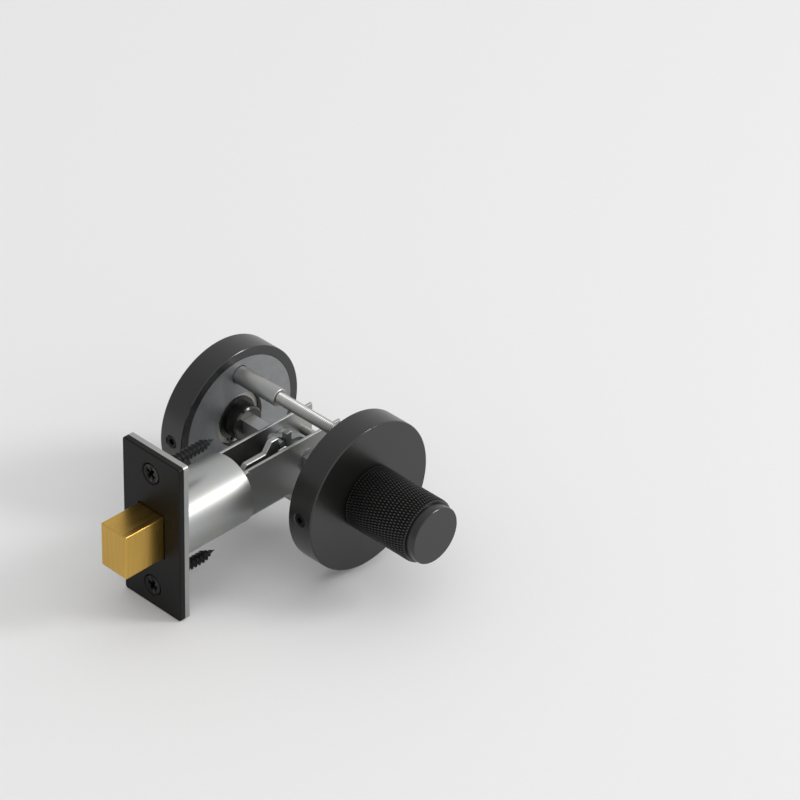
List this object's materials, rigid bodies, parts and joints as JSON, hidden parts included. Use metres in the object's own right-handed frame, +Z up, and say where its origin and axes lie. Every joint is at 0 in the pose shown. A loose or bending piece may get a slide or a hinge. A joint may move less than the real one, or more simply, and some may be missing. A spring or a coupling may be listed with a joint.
{
  "type": "privacy thumbturn",
  "caption": "Bathroom door privacy set: a knurled thumbturn on a round rose throws a square brass dead bolt, with a coin-slot release on the other face.",
  "frame": {"origin": "where the spindle's axis meets the door's inside face", "axes": "+Y through the door from the inside face to the outside face, -X towards the door's edge, the way the bolt is thrown, +Z up"},
  "size_m": [0.101, 0.0968, 0.057],
  "materials": {
    "black_coat": "satin black powder coat",
    "black_screw": "black zinc plate",
    "zinc_casting": "as cast zinc alloy",
    "plated_steel": "bright zinc plate",
    "spring_steel": "phosphated",
    "nylon": "natural",
    "brass": "fine brushed, unlacquered"
  },
  "bodies": {
    "lock_body": {"turn_rose": "black_coat", "turn_rose_grub_screw": "black_screw", "turn_base": "zinc_casting", "turn_washer": "nylon", "through_bolts": "plated_steel", "sleeve_nuts": "plated_steel", "release_rose": "black_coat", "release_rose_grub_screw": "black_screw", "release_base": "zinc_casting", "release_washer": "nylon", "faceplate": "black_coat", "forend": "plated_steel", "faceplate_screws": "black_screw", "bolt_barrel": "plated_steel", "bolt_case": "plated_steel", "case_rivets": "plated_steel", "detent_spring": "spring_steel", "spring_rivet": "plated_steel"},
    "turn": {"turn_knob": "black_coat", "turn_circlip": "spring_steel", "spindle": "plated_steel", "spindle_pin": "spring_steel", "follower": "zinc_casting", "release_turn": "black_coat", "release_circlip": "spring_steel"},
    "bolt": {"dead_bolt": "brass", "bolt_tail": "plated_steel", "tail_pin": "spring_steel"}
  },
  "joints": [
    {"name": "turn_hinge", "type": "hinge", "parent": "lock_body", "child": "turn", "pos_m": [0, 0, 0], "axis": [0, 1, 0], "range_deg": [0, 90]},
    {"name": "bolt_slide", "type": "slide", "parent": "lock_body", "child": "bolt", "axis": [1, 0, 0], "range_m": [0, 0.0155], "deforming": ["detent_spring"]}
  ],
  "couplings": [
    {"joint": "bolt_slide", "follows": "turn_hinge", "m_per_rad": 0.009867}
  ]
}
